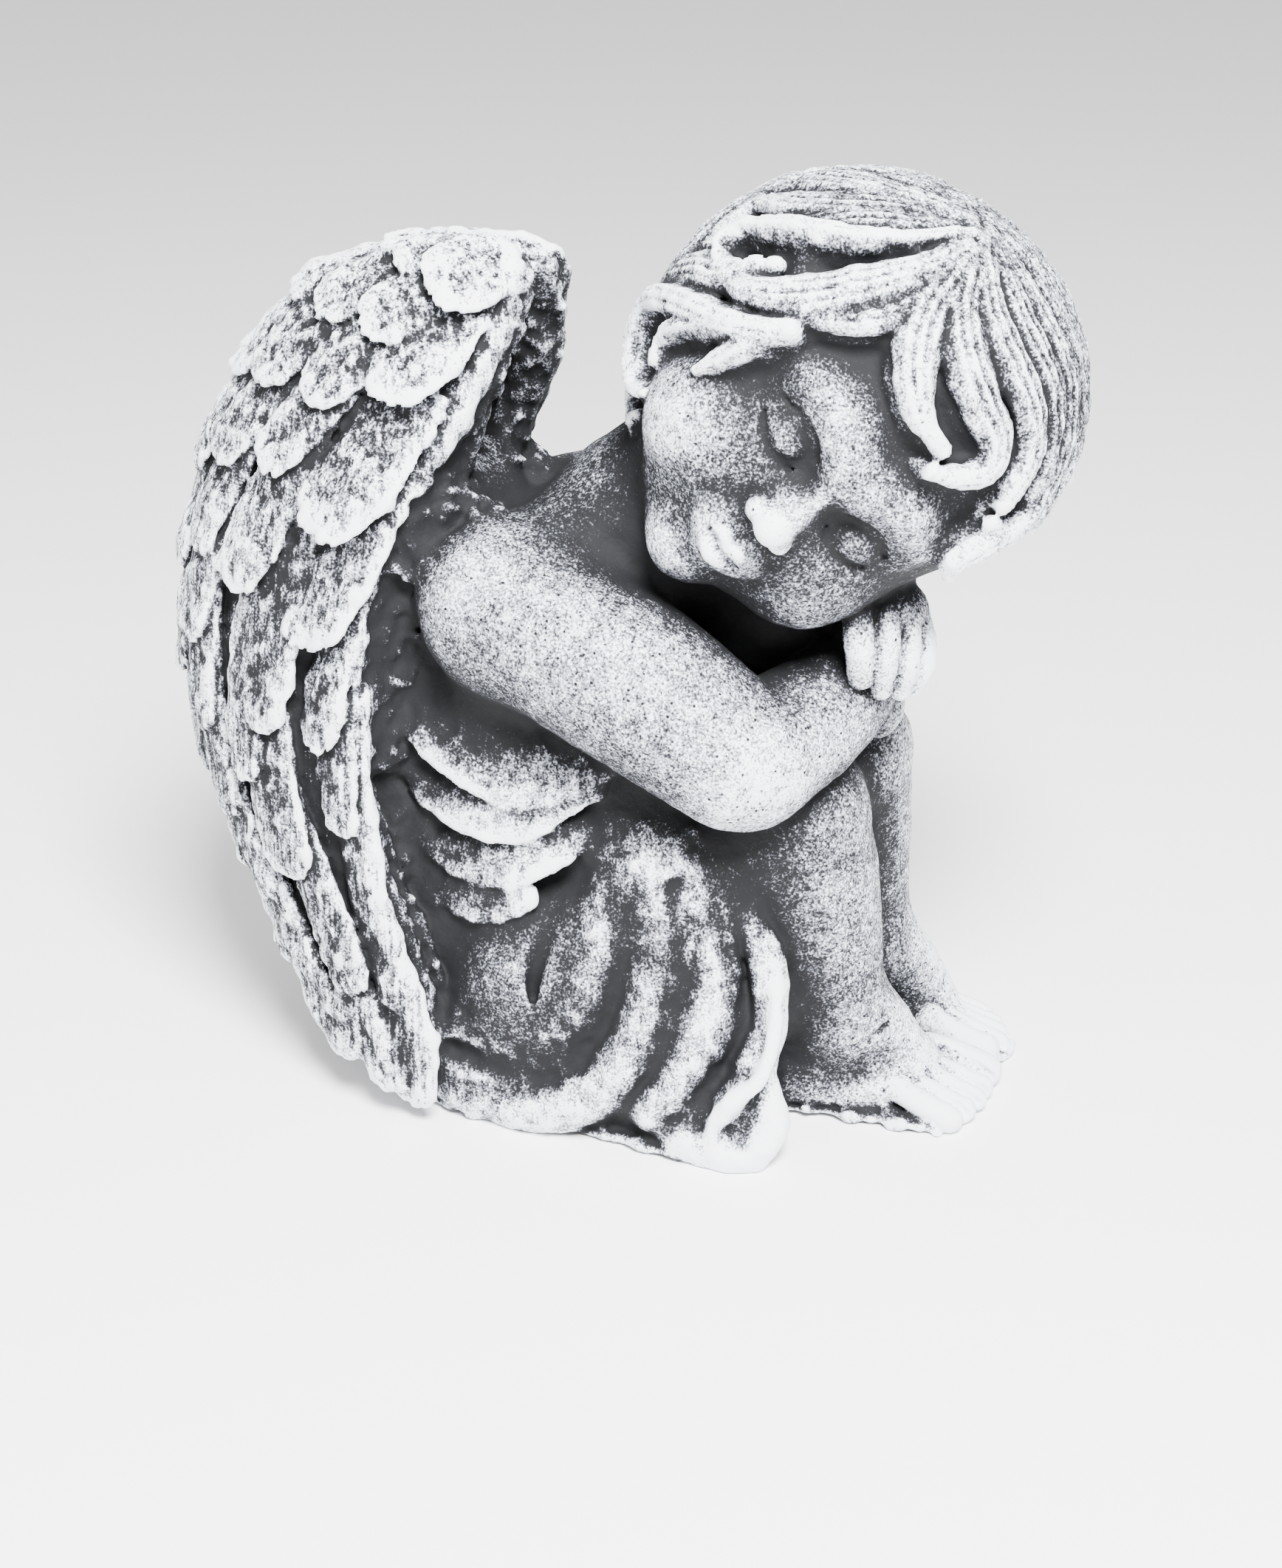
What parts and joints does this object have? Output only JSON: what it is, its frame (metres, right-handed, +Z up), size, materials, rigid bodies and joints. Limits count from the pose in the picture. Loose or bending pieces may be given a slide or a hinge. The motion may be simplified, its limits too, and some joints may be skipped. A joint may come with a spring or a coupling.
{
  "type": "angel statue",
  "caption": "Cast-stone garden statue of a sleeping child angel, seated with knees drawn up, head on folded arms and wings closed behind.",
  "frame": {"origin": "middle of the bounding box, on the plane the statue stands on", "axes": "+X the way the seated figure faces, +Y to the figure's left, +Z up"},
  "size_m": [0.2905, 0.1512, 0.3094],
  "materials": {
    "cast_stone": "matt"
  },
  "bodies": {
    "root": {"angel_statue": "cast_stone"}
  },
  "joints": []
}
